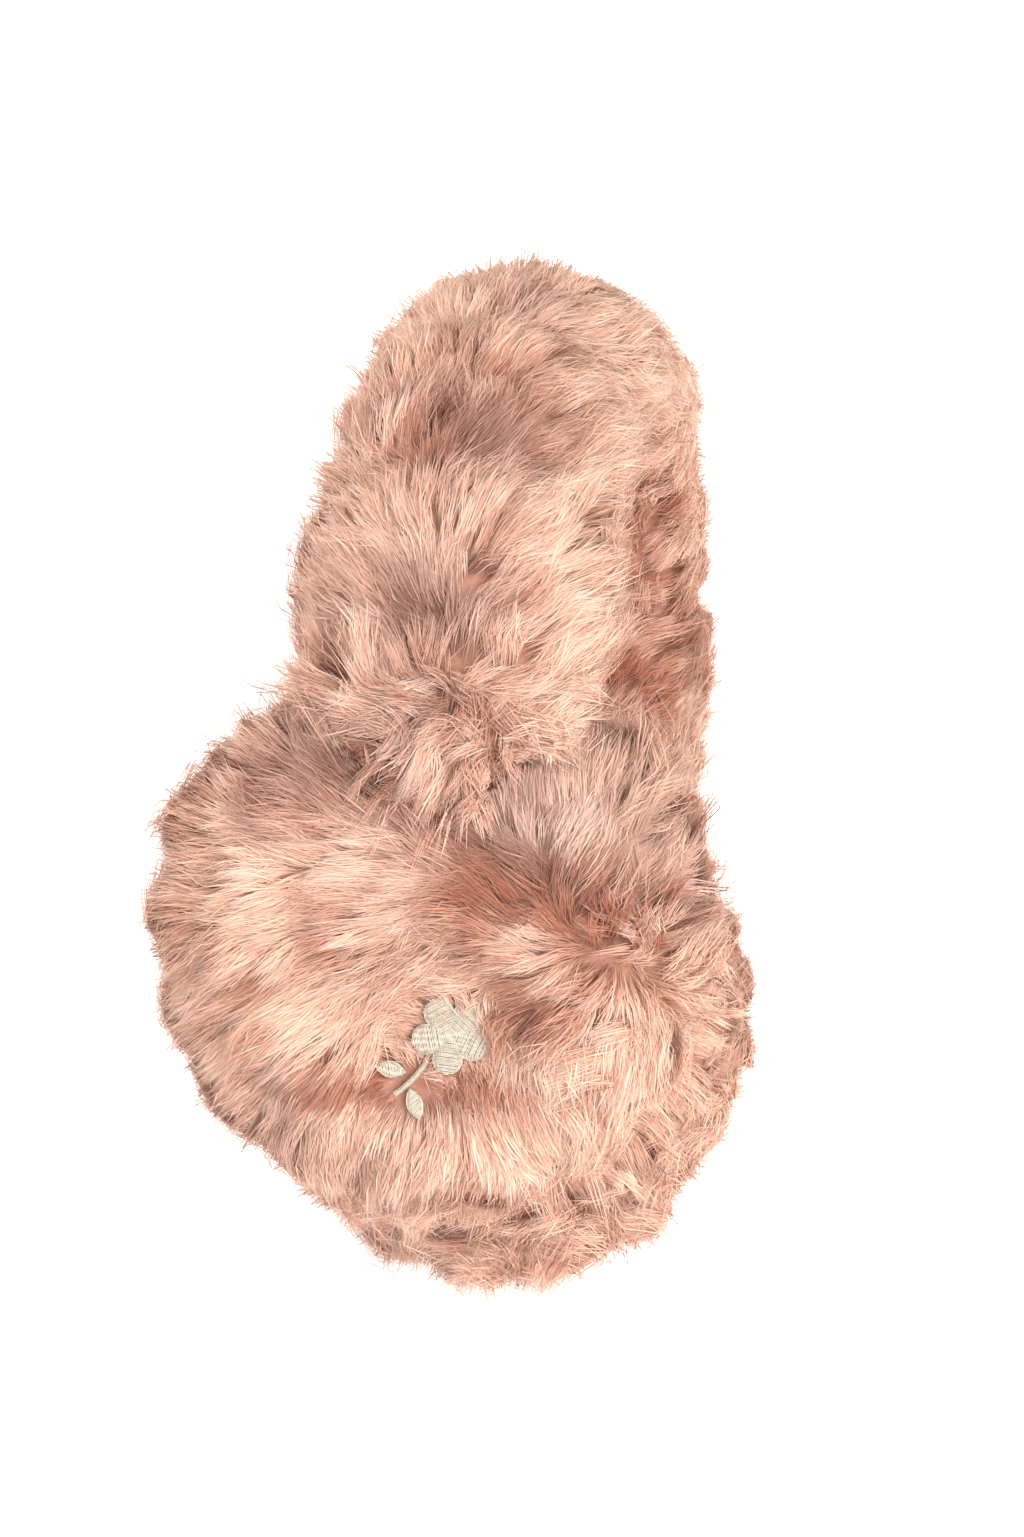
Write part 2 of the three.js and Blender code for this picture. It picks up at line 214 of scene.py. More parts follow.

# %% [markdown]
# ## Fur fibre
#
# Faux fur is fine modacrylic fibre: matt, slightly translucent, dyed dusty pink. Deep in the pile
# it looks salmon brown, and the tips are nearly cream; the darker roots of each strand are painted
# shade deep in the pile. Some of it is a cooler, mauve pink. A strand's map holds its dye in u and
# the way from root to tip in v. u has four equal steps, from the warm dye to the cool one, and each
# step runs from deep to pale. Besides random differences, the tone along a step carries the painted
# shade and painted light charted on the cups and the sleeve. So one small material colours every
# strand, and the pelt under it is the same fibre seen between the wisps, darker as painted shade.

# %% Fur materials
DYE_STEPS = 4
MIDDLE_STOP = 0.55
GLOW_SHARE = 0.35
# Root, middle and tip of a strand; the darker roots are painted shade deep in the pile
WARM_DEEP = ("#65331F", "#A15A3F", "#C6866A")
WARM_PALE = ("#C89378", "#EFC9B3", "#F9E2D4")
COOL_DEEP = ("#5C3D32", "#8F6758", "#B58B7B")
COOL_PALE = ("#B89384", "#E6C5B6", "#F4DCD0")


def fur_material(name):
    material, tree = new_material(name)
    uv = add_node(tree, "ShaderNodeUVMap", {"uv_map": "OFBake"})
    place = add_node(tree, "ShaderNodeSeparateXYZ", Vector=uv.outputs["UV"])
    ramps = []
    for colours in (WARM_DEEP, WARM_PALE, COOL_DEEP, COOL_PALE):
        ramp = add_node(tree, "ShaderNodeValToRGB", Fac=place.outputs["Y"])
        stops = ramp.color_ramp.elements
        stops[0].position, stops[0].color = 0.0, hex_linear(colours[0])
        stops[1].position, stops[1].color = 1.0, hex_linear(colours[2])
        stops.new(MIDDLE_STOP).color = hex_linear(colours[1])
        ramps.append(ramp.outputs["Color"])
    steps = add_node(tree, "ShaderNodeMath", {"operation": "MULTIPLY"}, i0=place.outputs["X"],
                     i1=float(DYE_STEPS))
    step = add_node(tree, "ShaderNodeMath", {"operation": "FLOOR"}, i0=steps.outputs[0])
    cool = add_node(tree, "ShaderNodeMath", {"operation": "DIVIDE"}, i0=step.outputs[0],
                    i1=DYE_STEPS - 1.0)
    tone = add_node(tree, "ShaderNodeMath", {"operation": "FRACT"}, i0=steps.outputs[0])
    warm_dye = add_node(tree, "ShaderNodeMix", {"data_type": "RGBA"}, i0=tone.outputs[0],
                        i6=ramps[0], i7=ramps[1])
    cool_dye = add_node(tree, "ShaderNodeMix", {"data_type": "RGBA"}, i0=tone.outputs[0],
                        i6=ramps[2], i7=ramps[3])
    dye = add_node(tree, "ShaderNodeMix", {"data_type": "RGBA"}, i0=cool.outputs[0],
                   i6=warm_dye.outputs[2], i7=cool_dye.outputs[2])
    fibre = add_node(tree, "ShaderNodeBsdfPrincipled", Base_Color=dye.outputs[2],
                     Roughness=0.6, Specular_IOR_Level=0.25)
    glow = add_node(tree, "ShaderNodeBsdfTranslucent", Color=dye.outputs[2])
    both = add_node(tree, "ShaderNodeMixShader", i0=GLOW_SHARE, i1=fibre.outputs[0],
                    i2=glow.outputs[0])
    add_node(tree, "ShaderNodeOutputMaterial", Surface=both.outputs[0])
    return material


def pelt_material(name):
    material, tree = new_material(name)
    place = add_node(tree, "ShaderNodeTexCoord")
    # Wisps are about 2.5 mm wide, so the mottling repeats about every 5 mm
    mottle = add_node(tree, "ShaderNodeTexNoise", Vector=place.outputs["Object"], Scale=200.0,
                      Detail=3.0, Roughness=0.6)
    ramp = add_node(tree, "ShaderNodeValToRGB", Fac=mottle.outputs["Fac"])
    # The pelt's dark browns are painted shade: they stand for the shaded depth of the pile between
    # the wisps.
    ramp.color_ramp.elements[0].color = hex_linear("#6A4336")
    ramp.color_ramp.elements[1].color = hex_linear("#AC7F6D")
    bump = add_node(tree, "ShaderNodeBump", Height=mottle.outputs["Fac"], Strength=0.6,
                    Distance=0.001)
    shader = add_node(tree, "ShaderNodeBsdfPrincipled", Base_Color=ramp.outputs["Color"],
                      Normal=bump.outputs["Normal"], Roughness=0.95, Specular_IOR_Level=0.1)
    add_node(tree, "ShaderNodeOutputMaterial", Surface=shader.outputs[0])
    return material


fibre = fur_material("modacrylic_fur_fibre")
painted_shade_underfur = pelt_material("dense_underfur_painted_shade")
print("materials:", fibre.name, painted_shade_underfur.name)

# %% [markdown]
# ## Pelts
#
# Each pelt is its solid drawn in by a few millimetres, so that the pile can stand on it and still
# end where the solid ends. Remeshing turns the faceted solid into even skin and smoothing rounds
# it. Then each point moves in along its normal, and less far where the solid is thin, such as at
# the sleeve's ends, so that the skin never turns inside out. No point is let through the table.

# %% Pelts
FUR_NODES = ("headband_sleeve", "cup_right_outer", "cup_right_inner",
             "cup_left_outer", "cup_left_inner")
PELT_VOXEL = 3.6
PELT_INSET = 2.4
THIN_SHARE = 0.3
PELT_CLEAR = 0.8


def make_pelt(node):
    source = bpy.data.objects[node]
    bm = bmesh.new()
    bm.from_mesh(source.data)
    bmesh.ops.remove_doubles(bm, verts=bm.verts, dist=1e-5)
    mesh = bpy.data.meshes.new(node + "_pelt")
    bm.to_mesh(mesh)
    bm.free()
    pelt = bpy.data.objects.new(node + "_pelt", mesh)
    bpy.context.scene.collection.objects.link(pelt)
    remesh = pelt.modifiers.new("even_skin", "REMESH")
    remesh.mode = "VOXEL"
    remesh.voxel_size = PELT_VOXEL * MM
    smooth = pelt.modifiers.new("rounded", "SMOOTH")
    smooth.factor = 0.5
    smooth.iterations = 3
    shaped = bpy.data.meshes.new_from_object(
        pelt.evaluated_get(bpy.context.evaluated_depsgraph_get()))
    pelt.modifiers.clear()
    pelt.data = shaped
    shaped.name = node + "_pelt"
    shaped.materials.clear()
    shaped.materials.append(painted_shade_underfur)
    bm = bmesh.new()
    bm.from_mesh(shaped)
    bm.normal_update()
    tree = BVHTree.FromBMesh(bm)
    moved = []
    for vertex in bm.verts:
        below = tree.ray_cast(vertex.co - vertex.normal * 0.1 * MM, -vertex.normal)[3] or 1.0
        moved.append(vertex.co - vertex.normal * min(PELT_INSET * MM, THIN_SHARE * below))
    for vertex, place in zip(bm.verts, moved):
        vertex.co = Vector((place.x, place.y, max(place.z, PELT_CLEAR * MM)))
    bm.to_mesh(shaped)
    bm.free()
    for polygon in shaped.polygons:
        polygon.use_smooth = True
    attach(pelt, "root")
    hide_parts(node)
    return pelt


pelts = {node: make_pelt(node) for node in FUR_NODES}
for node, pelt in pelts.items():
    print(pelt.name, len(pelt.data.polygons), "faces")

# %% [markdown]
# ## Where the pile grows
#
# The seam faces, where a panel meets its other half or the sleeve, carry no pile. A short ray from
# each face of a pelt tells: if it meets another pelt at once, the face is bare. At a cup's rim the
# pile grows almost into the seam, so the ray is shorter there.

# %% Growing faces
SEAM_REACH = 7.0
RIM_REACH = 2.8
RIM_FROM = 51.0


def unit(vectors):
    return vectors / np.maximum(np.linalg.norm(vectors, axis=-1, keepdims=True), 1e-9)


def ground_of(objects):
    """A tree for finding the nearest place on some pelts, and their smooth face normals."""
    bm = bmesh.new()
    for obj in objects:
        bm.from_mesh(obj.data)
    bm.normal_update()
    tree = BVHTree.FromBMesh(bm)
    smooth = unit(np.array([sum((v.normal for v in f.verts), Vector()) for f in bm.faces]))
    bm.free()
    return tree, smooth


def skin_of(obj):
    """A pelt's triangles and the ground that its pile lies on."""
    mesh = obj.data
    tree, smooth = ground_of([obj])
    mesh.calc_loop_triangles()
    co = np.empty(len(mesh.vertices) * 3)
    mesh.vertices.foreach_get("co", co)
    tri = np.empty(len(mesh.loop_triangles) * 3, dtype=np.int64)
    mesh.loop_triangles.foreach_get("vertices", tri)
    normal = np.empty(len(mesh.vertices) * 3)
    mesh.vertices.foreach_get("normal", normal)
    tri = tri.reshape(-1, 3)
    corners, normals = co.reshape(-1, 3)[tri], normal.reshape(-1, 3)[tri]
    cross = np.cross(corners[:, 1] - corners[:, 0], corners[:, 2] - corners[:, 0])
    return {"tree": tree, "corners": corners, "normals": normals,
            "area": np.linalg.norm(cross, axis=1) / 2, "centre": corners.mean(axis=1),
            "lies_on": (tree, smooth)}


def ray_lengths(node, centres):
    if node == "headband_sleeve":
        return np.full(len(centres), RIM_REACH)
    inverse = np.array(cup_frame(1 if "right" in node else -1).inverted())
    here = (centres @ inverse[:3, :3].T + inverse[:3, 3]) / MM
    return np.where(np.hypot(here[:, 1], here[:, 2]) > RIM_FROM, RIM_REACH, SEAM_REACH)


skin = {node: skin_of(pelt) for node, pelt in pelts.items()}
# The sleeve's last tufts lie down over the cups
skin["headband_sleeve"]["lies_on"] = ground_of(
    [pelts[node] for node in ("headband_sleeve", "cup_right_outer", "cup_left_outer")])
for node, part in skin.items():
    outward = unit(part["normals"].mean(axis=1))
    grows = np.ones(len(outward))
    rays = zip(part["centre"], outward, ray_lengths(node, part["centre"]) * MM)
    for i, (start, way, reach) in enumerate(rays):
        grows[i] = not any(other["tree"].ray_cast(Vector(start), Vector(way), reach)[0]
                           for name, other in skin.items() if name != node)
    print(node, "grows on", round((part["area"] * grows).sum() * 1e6), "of",
          round(part["area"].sum() * 1e6), "mm2")
    part["area"] = part["area"] * grows

# %% [markdown]
# ## Locks, wisps and strands
#
# Real pile gathers twice. Fine strands gather into wisps, like small paint brushes, and
# neighbouring wisps lean together into locks a centimetre wide, whose tips lie over the next
# lock's roots like shingles. Each wisp walks over the pelt in two steps along the comb, so its
# strands follow the form and lie over a rim instead of standing out past it. A strand is two long
# triangles, and its shading leans towards the round form of its wisp and lock, so that the pile
# reads as soft tufts and not as loose blades.

# %% Smooth noise
NOISE_WAVES = 10
NOISE_PEAK = 3.2


def noise_of(seed, scale):
    """A smooth random field that varies over about scale millimetres, from -1 to 1."""
    rng = np.random.default_rng(seed)
    waves = rng.normal(size=(NOISE_WAVES, 3)) * (2.4 / scale)
    phases = rng.uniform(0, 2 * math.pi, NOISE_WAVES)

    def field(points):
        return np.clip(np.sin(points @ waves.T + phases).sum(axis=1) / NOISE_PEAK, -1, 1)
    return field


print("smooth noise of", NOISE_WAVES, "waves")


# %% Roots and steps over a pelt
def sample_skin(part, count, weight, rng):
    """Random root places in mm, spread evenly over the growing faces."""
    chance = part["area"] * weight
    pick = rng.choice(len(chance), count, p=chance / chance.sum())
    u, v = rng.random(count), rng.random(count)
    over = u + v > 1
    u[over], v[over] = 1 - u[over], 1 - v[over]
    share = np.stack([1 - u - v, u, v], axis=1)[:, :, None]
    place = (part["corners"][pick] * share).sum(axis=1)
    return place / MM, unit((part["normals"][pick] * share).sum(axis=1))


def step_over(part, points, ways, reach):
    """One step of each wisp along its way, set back down on the pelt."""
    tree, smooth = part["lies_on"]
    placed, faces = [], []
    for goal in (points + ways * reach[:, None]) * MM:
        place, _, face, _ = tree.find_nearest(Vector(goal))
        placed.append(place)
        faces.append(face)
    return np.array(placed) / MM, smooth[faces]


def along_skin(way, normal):
    return unit(way - normal * (way * normal).sum(axis=1, keepdims=True))


# %% Wisps gathered into locks
WISP_STRANDS = 15
LOCK_AREA = 46.0
LOCK_HALF_WIDTH = 4.5
SHORTEST = 5
# Ranges or spreads of the random differences between locks, and between the wisps of one lock
LOCK_LENGTHS, WISP_LENGTHS = (0.8, 1.12), (0.88, 1.1)
LOCK_HEIGHTS, WISP_HEIGHTS = (0.8, 1.2), (0.85, 1.2)
LOCK_TONE, WISP_TONE = 0.05, 0.06
LOCK_LEAN, MESSY_LEAN, WISP_LEAN = 0.16, 0.6, 0.09
MESSY_HEIGHTS = (-0.4, 0.8)
# How much further back a lock's front wisps end, so that its tips draw together
TIPS_TOGETHER = 0.55
EDGE_DROP = 0.35


def rooted_wisps(part, count, comb, chance, rng):
    """Wisps with their roots on a pelt, and what the comb gives for each, where pile grows."""
    root, normal = sample_skin(part, count, chance, rng)
    way, length, height, tone, clump, cool, mess, grows = comb(root, normal)
    wisp = {"root": root, "normal": normal, "way": way, "length": length, "height": height,
            "tone": tone, "clump": clump, "cool": cool, "mess": mess}
    return SimpleNamespace(**{key: values[grows] for key, values in wisp.items()})


def nearest_locks(wisp, part, chance, rng):
    """The middles of the locks, and which lock each wisp belongs to."""
    locks = int((part["area"] * chance).sum() * 1e6 / LOCK_AREA)
    middles, _ = sample_skin(part, locks, chance, rng)
    finder = KDTree(locks)
    for i, place in enumerate(middles):
        finder.insert(place, i)
    finder.balance()
    return middles, np.array([finder.find(place)[1] for place in wisp.root])


def gather_locks(wisp, middles, lock, rng):
    """Turn, trim and shade the wisps so that those of one lock lie together."""
    locks, count = len(middles), len(lock)
    lean = (rng.normal(0, 1, locks)[lock] * (LOCK_LEAN + MESSY_LEAN * wisp.mess)
            + rng.normal(0, WISP_LEAN, count))
    way = along_skin(wisp.way, wisp.normal)
    side = np.cross(wisp.normal, way)
    wisp.way = way * np.cos(lean)[:, None] + side * np.sin(lean)[:, None]
    wisp.side = np.cross(wisp.normal, wisp.way)
    offset = wisp.root - middles[lock]
    ahead, wisp.aside = (offset * wisp.way).sum(axis=1), (offset * wisp.side).sum(axis=1)
    edge = np.clip(np.abs(wisp.aside) / LOCK_HALF_WIDTH, 0, 1)
    wisp.length = (wisp.length * rng.uniform(*LOCK_LENGTHS, locks)[lock]
                   * rng.uniform(*WISP_LENGTHS, count))
    wisp.length = np.maximum(wisp.length - TIPS_TOGETHER * wisp.clump * ahead, SHORTEST)
    wisp.height = (wisp.height * rng.uniform(*LOCK_HEIGHTS, locks)[lock]
                   * rng.uniform(*WISP_HEIGHTS, count))
    wisp.height = wisp.height * (1 + wisp.mess * rng.uniform(*MESSY_HEIGHTS, locks)[lock])
    wisp.height = wisp.height * (1 - EDGE_DROP * wisp.clump * edge ** 2)
    # A lock is palest in its middle and towards its front: painted shade darkens its edges, in the
    # gaps between locks, and painted light brightens its crest and front
    wisp.tone = (wisp.tone + rng.normal(0, LOCK_TONE, locks)[lock]
                 + rng.normal(0, WISP_TONE, count)
                 + wisp.clump * (0.08 - 0.2 * edge ** 2 + 0.012 * ahead))


print("wisps of", WISP_STRANDS, "strands in locks of", LOCK_AREA, "mm2")

# %% A wisp's path over the pelt
FIRST_STEP, SECOND_STEP = 0.45, 0.5
STIFFNESS = 0.3
DRAWN_IN = 0.25


def walk_wisps(wisp, part, comb):
    """Two steps along the comb: each wisp's middle and end, with the directions there."""
    wisp.mid, wisp.mid_normal = step_over(part, wisp.root, wisp.way, wisp.length * FIRST_STEP)
    combed = unit(along_skin(comb(wisp.mid, wisp.mid_normal)[0], wisp.mid_normal))
    wisp.on = along_skin(unit(wisp.way) * 0.6 + combed * 0.4, wisp.mid_normal)
    wisp.mid_side = np.cross(wisp.mid_normal, wisp.on)
    gathered = wisp.mid - wisp.mid_side * (wisp.aside * DRAWN_IN * wisp.clump)[:, None]
    end, wisp.end_normal = step_over(part, gathered, wisp.on, wisp.length * SECOND_STEP)
    straight = gathered + wisp.on * (wisp.length * SECOND_STEP)[:, None]
    wisp.end = end * (1 - STIFFNESS) + straight * STIFFNESS
    wisp.end_side = np.cross(wisp.end_normal, along_skin(wisp.on, wisp.end_normal))


print("a wisp ends", FIRST_STEP + SECOND_STEP, "of its length from its root")

# %% A wisp's strands
STRAND_WIDTH = 0.25
STRAND_WIDTHS = (0.7, 1.3)
STRAND_TILT = 0.5
WISP_RADIUS = 1.7
WISP_OVAL = 1.6
ROOT_DEPTH = 0.5
STRAYS = 0.14
STRAND_LENGTHS = (0.55, 1.06)
STRAY_RISES, RISES, TIP_RISES = (1.1, 1.7), (0.75, 1.08), (0.75, 1.15)
STRAY_SWING, SWING = 1.8, 0.5
POINT_CLEAR, EDGE_CLEAR = 0.3, 0.2


def clear_of_table(places, height):
    for points in places:
        points[:, 2] = np.maximum(points[:, 2], height)


def spread_strands(wisp, index, rng):
    """Start, middle and tip of each strand, and how far aside in its wisp it stands."""
    total = len(index)
    reach = np.sqrt(rng.random(total)) * WISP_RADIUS
    angle = rng.uniform(0, 2 * math.pi, total)
    back, across = reach * np.cos(angle) * WISP_OVAL, reach * np.sin(angle)
    stray = rng.random(total) < STRAYS
    long = rng.uniform(*STRAND_LENGTHS, total)
    gather = wisp.clump[index]
    rise = wisp.height[index] * np.where(stray, rng.uniform(*STRAY_RISES, total),
                                         rng.uniform(*RISES, total))
    swing = np.where(stray, rng.normal(0, STRAY_SWING, total), rng.normal(0, SWING, total))
    start = (wisp.root[index] + wisp.way[index] * back[:, None]
             + wisp.side[index] * across[:, None] - wisp.normal[index] * ROOT_DEPTH)
    middle = (wisp.root[index] + (wisp.mid - wisp.root)[index] * long[:, None]
              + wisp.way[index] * (back * 0.7)[:, None]
              + wisp.mid_normal[index] * (rise * 0.8)[:, None]
              + wisp.mid_side[index] * (across * (1 - 0.3 * gather) + swing * 0.4)[:, None])
    tip = (wisp.mid[index] + (wisp.end - wisp.mid)[index] * (long * 1.7 - 0.7)[:, None]
           + wisp.on[index] * (back * 0.35)[:, None]
           + wisp.end_normal[index] * (rise * rng.uniform(*TIP_RISES, total))[:, None]
           + wisp.end_side[index] * (across * (1 - 0.75 * gather) + swing)[:, None])
    clear_of_table((start, middle, tip), POINT_CLEAR)
    return start, middle, tip, across


def widen_strands(wisp, index, start, middle, tip, rng):
    """Both edges of each strand's middle, turned mostly to face outwards."""
    run = unit(tip - start)
    facing = along_skin(wisp.mid_normal[index], run)
    tilt = rng.normal(0, STRAND_TILT, len(index))
    flat = np.cross(facing, run) * np.cos(tilt)[:, None] + facing * np.sin(tilt)[:, None]
    wide = STRAND_WIDTH * rng.uniform(*STRAND_WIDTHS, len(index))[:, None] / 2
    left, right = middle + flat * wide, middle - flat * wide
    clear_of_table((left, right), EDGE_CLEAR)
    return left, right


print("strands", STRAND_WIDTH, "mm wide, spread over", WISP_RADIUS, "mm at a wisp's root")

# %% Shading and dye of the strands
ROUND_WISP, ROUND_LOCK = 0.45, 0.4
ROUND_LOCK_REACH = 5
UNEVEN_SHADE = 0.28
STRAND_TONE = 0.12
UV_HALF = 0.006


def shade_strands(wisp, index, across, rng):
    """Normals that lean with the round form of wisp and lock, opening forwards at the tip."""
    round_off = (across / WISP_RADIUS * ROUND_WISP
                 + wisp.aside[index] / ROUND_LOCK_REACH * ROUND_LOCK)[:, None]
    uneven = wisp.side[index] * rng.normal(0, UNEVEN_SHADE, len(index))[:, None]
    shades = []
    for normal, side, forward in ((wisp.normal, wisp.side, -0.1),
                                  (wisp.mid_normal, wisp.mid_side, 0.1),
                                  (wisp.mid_normal, wisp.mid_side, 0.1),
                                  (wisp.end_normal, wisp.end_side, 0.4)):
        shades.append(unit(normal[index] + side[index] * round_off + wisp.on[index] * forward
                           + uneven))
    return np.stack(shades, axis=1).reshape(-1, 3)


def dye_strands(wisp, index, rng):
    """The map of each strand: u holds its dye, and v the way from root to tip."""
    total = len(index)
    dye = np.clip(wisp.tone[index] + rng.normal(0, STRAND_TONE, total), 0.04, 0.96)
    # A chance between the two nearest steps, so that the dyes mix strand by strand
    step = np.floor(np.clip(wisp.cool[index], 0, 1) * (DYE_STEPS - 1) + rng.random(total) * 0.999)
    dye = (dye + step) / DYE_STEPS
    u = np.stack([dye, dye - UV_HALF, dye + UV_HALF, dye], axis=1)
    v = np.broadcast_to([0.02, 0.5, 0.5, 0.98], (total, 4))
    return np.stack([u, v], axis=2).reshape(-1, 2)


print("the dye has", DYE_STEPS, "steps")

# %% Growing the fur of one piece
def grow_fur(name, node, count, comb, seed, weight=None):
    """Fur on a pelt. comb gives, for places and normals in mm, each wisp's direction, length,
    height, tone, how far its tips are drawn together, its share of the cool dye, how untidy its
    lock is, and whether it grows."""
    rng = np.random.default_rng(seed)
    part = skin[node]
    chance = np.ones(len(part["area"])) if weight is None else weight(part["centre"] / MM)
    wisp = rooted_wisps(part, count // WISP_STRANDS, comb, chance, rng)
    gather_locks(wisp, *nearest_locks(wisp, part, chance, rng), rng)
    walk_wisps(wisp, part, comb)
    index = np.repeat(np.arange(len(wisp.root)), WISP_STRANDS)
    start, middle, tip, across = spread_strands(wisp, index, rng)
    left, right = widen_strands(wisp, index, start, middle, tip, rng)
    shading = shade_strands(wisp, index, across, rng)
    uv = dye_strands(wisp, index, rng)
    verts = np.stack([start, left, right, tip], axis=1).reshape(-1, 3) * MM
    base = np.arange(len(index))[:, None] * 4
    tris = np.concatenate([base + [0, 2, 1], base + [1, 2, 3]], axis=1).reshape(-1)
    return mesh_from(name, verts, tris, uv[tris], shading)


def mesh_from(name, verts, tris, uv, shading):
    mesh = bpy.data.meshes.new(name)
    mesh.vertices.add(len(verts))
    mesh.vertices.foreach_set("co", verts.ravel())
    mesh.loops.add(len(tris))
    mesh.loops.foreach_set("vertex_index", tris.astype(np.int32))
    mesh.polygons.add(len(tris) // 3)
    mesh.polygons.foreach_set("loop_start", np.arange(0, len(tris), 3, dtype=np.int32))
    layer = mesh.uv_layers.new(name="OFBake")
    layer.uv.foreach_set("vector", uv.ravel())
    mesh.update(calc_edges=True)
    mesh.normals_split_custom_set_from_vertices(shading.tolist())
    mesh.materials.append(fibre)
    obj = bpy.data.objects.new(name, mesh)
    bpy.context.scene.collection.objects.link(obj)
    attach(obj, "root")
    print(name, len(mesh.polygons), "triangles")
    return obj


# %% [markdown]
# ## Combing the cups
#
# On the near outer panel the pile lies away from a whorl near its front edge, parts along a line
# from the whorl to the sleeve, droops below the whorl and goes over the rim into the seam. Round
# the embroidery it is pushed aside, with a hollow below, lower and darkened with painted shade. The
# far outer panel lies on its own whorl. The inner panels' pile lies outwards from their middles.
# Where the near panel is darker or paler was charted as a few soft patches: painted shade round the
# whorl, in the parting, under the sleeve, in the hollow and in gaps between tufts, and painted
# light mostly along the rims and the foot, with a cooler hue in the painted shade.

# %% Chart of the cups
WHORLS = {1: (50.0, -1.0), -1: (8.0, -4.0)}
# Places of the flower and of its stem: y, z and radius in mm
STITCHED = ((10.6, -22.0, 7.5), (2.0, -33.0, 4.5))
# Each patch: y, z, its spread in y and z in mm, and how much paler, deeper or cooler it is. Paler
# and darker patches are painted light and painted shade, and cooler ones give the painted shade its
# hue
NEAR_CUP_PAINTED_SHADE_AND_LIGHT = ((44, 4, 15, 13, -0.6), (28, 16, 20, 7, -0.8), (-18, 33, 26, 9, -0.62),
                   (8, 26, 14, 6, -0.55), (-5, -37, 26, 6, -1.0), (24, -17, 8, 7, -0.34),
                   (-33, 10, 16, 6, 0.08), (-17, 4, 9, 3, -0.3), (-34, -15, 10, 3, -0.3),
                   (15, 8, 9, 4, -0.24), (26, -52, 28, 9, 0.28), (52, -34, 16, 16, 0.28),
                   (61, 12, 7, 18, 0.12), (44, 38, 14, 9, 0.12), (-52, -8, 8, 18, 0.08),
                   (-40, -36, 14, 10, 0.06))
NEAR_CUP_HOLLOW = ((-6, -36, 24, 6, 1.0),)
# Cooler patches: the hue of the painted shade under the sleeve, in the crease, in the hollow and
# round the whorl
NEAR_CUP_PAINTED_SHADE_COOLING = ((-18, 36, 28, 14, 0.8), (20, 28, 16, 10, 0.7), (2, -39, 26, 8, 0.6),
                 (46, 10, 14, 14, 0.3))
swirl_noise = noise_of(11, 26)
lock_noise = noise_of(12, 9)
patch_noise = noise_of(13, 24)
dye_noise = noise_of(14, 32)
tuft_noise = noise_of(15, 6)


def local_of(frame_matrix, points):
    """Places in mm, as a frame has them."""
    inverse = np.array(frame_matrix.inverted())
    return (points * MM @ inverse[:3, :3].T + inverse[:3, 3]) / MM


def patches(y, z, marks):
    return sum(amount * np.exp(-((y - a) / ry) ** 2 - ((z - b) / rz) ** 2)
               for a, b, ry, rz, amount in marks)


def bell(distance, spread):
    """1 in the middle, and falling off over the spread."""
    return np.exp(-(distance / spread) ** 2)


def ramp(value, start, span):
    """0 up to start, and rising to 1 over the span."""
    return np.clip((value - start) / span, 0, 1)


print(len(NEAR_CUP_PAINTED_SHADE_AND_LIGHT), "paler and darker patches,", len(NEAR_CUP_PAINTED_SHADE_COOLING), "cooler ones")

# %% Comb of the outer panels
OUTER_LENGTH, OUTER_HEIGHT, OUTER_TONE = 15, 4.6, 0.65
WHORL_CORE, WHORL_REACH, SEAM_WIDTH = 12, 26, 5
PARTING = math.radians(147)
PARTING_WIDTH, PARTING_SPLIT = math.radians(13), math.radians(18)
PARTING_EDGE, PARTING_FADE = math.radians(9), math.radians(40)
PARTING_LENGTH = 55
DROOP = math.radians(40)
PUSH_REACH = 9
HOLLOW_DEPTH = 2.4


def outer_angle(here, side, near):
    """Which way the pile lies round the whorl, and how far off the parting a place is."""
    whorl_y, whorl_z = WHORLS[side]
    angle = np.arctan2(here[:, 2] - whorl_z, here[:, 1] - whorl_y) % (2 * math.pi)
    from_parting = angle - PARTING + 0.22 * swirl_noise(here)
    angle = (angle + np.sign(from_parting) * PARTING_SPLIT
             * np.exp(-np.abs(from_parting) / PARTING_FADE)
             * (1 - bell(from_parting, PARTING_EDGE)))
    below = ramp(angle, math.pi, math.pi / 2)
    angle = angle + DROOP * np.sin(math.pi * below)
    angle += 0.35 * swirl_noise(here) + (0.2 + 0.7 * near) * lock_noise(here)
    return angle, from_parting


def low_edges(y, z, side):
    """How much a place is at a cup's foot, and at the far cup's front."""
    foot = ramp(-z, 30, 25) * np.clip(0.8 + y / 50, 0.1, 1)
    return foot, ramp(y, 30, 25) * ramp(z, -35, 25) * (side < 0)


def push_aside(y, z, way, length, height, mess):
    """Pile that runs at the figure bends aside, and some of it lies over the edge."""
    for at_y, at_z, clear in STITCHED:
        reach = np.hypot(y - at_y, z - at_z)
        away = unit(np.stack([np.zeros(len(y)), y - at_y, z - at_z], axis=1))
        over = np.clip(-(away * unit(way)).sum(axis=1), 0, 1)
        push = np.clip((clear + PUSH_REACH - reach) / PUSH_REACH, 0, 1)
        bend = (push * (1 - 0.45 * over))[:, None]
        way = unit(way) * (1 - bend) + away * bend
        length = length * (1 - 0.6 * push) + 4 * over * push
        height = height * (1 - 0.6 * push ** 2) + 3.2 * over * push
        mess = mess * (1 - push)
    return way, length, height, mess


